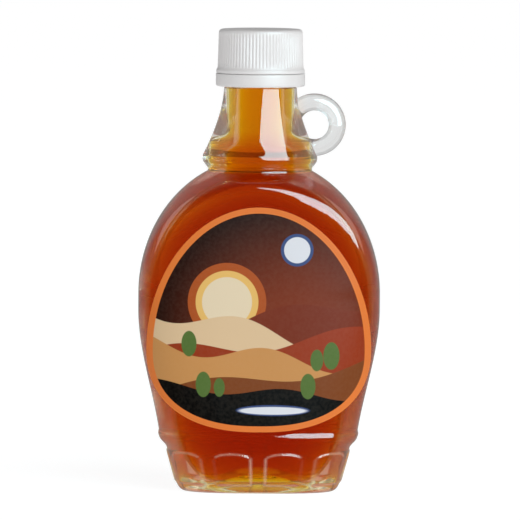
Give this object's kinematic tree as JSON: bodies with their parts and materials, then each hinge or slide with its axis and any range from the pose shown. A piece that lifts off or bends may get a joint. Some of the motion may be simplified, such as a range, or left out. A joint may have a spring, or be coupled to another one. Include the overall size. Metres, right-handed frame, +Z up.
{
  "type": "maple syrup bottle",
  "caption": "Flat oval clear glass flask of amber syrup with a finger ring at the neck, an arcaded foot, a dark oval front label and a white ribbed screw cap.",
  "frame": {"origin": "on the surface that the bottle stands on, under the middle of the bottle", "axes": "+Z up along the neck, +X towards the finger ring, -Y towards the label"},
  "size_m": [0.0838, 0.0525, 0.16],
  "materials": {
    "glass": "clear, polished",
    "syrup": "clear amber liquid",
    "label": "printed, satin",
    "cap": "white, satin"
  },
  "bodies": {
    "root": {"bottle": "glass", "syrup": "syrup", "front_label": "label", "cap": "cap", "tamper_band": "cap"}
  },
  "joints": []
}
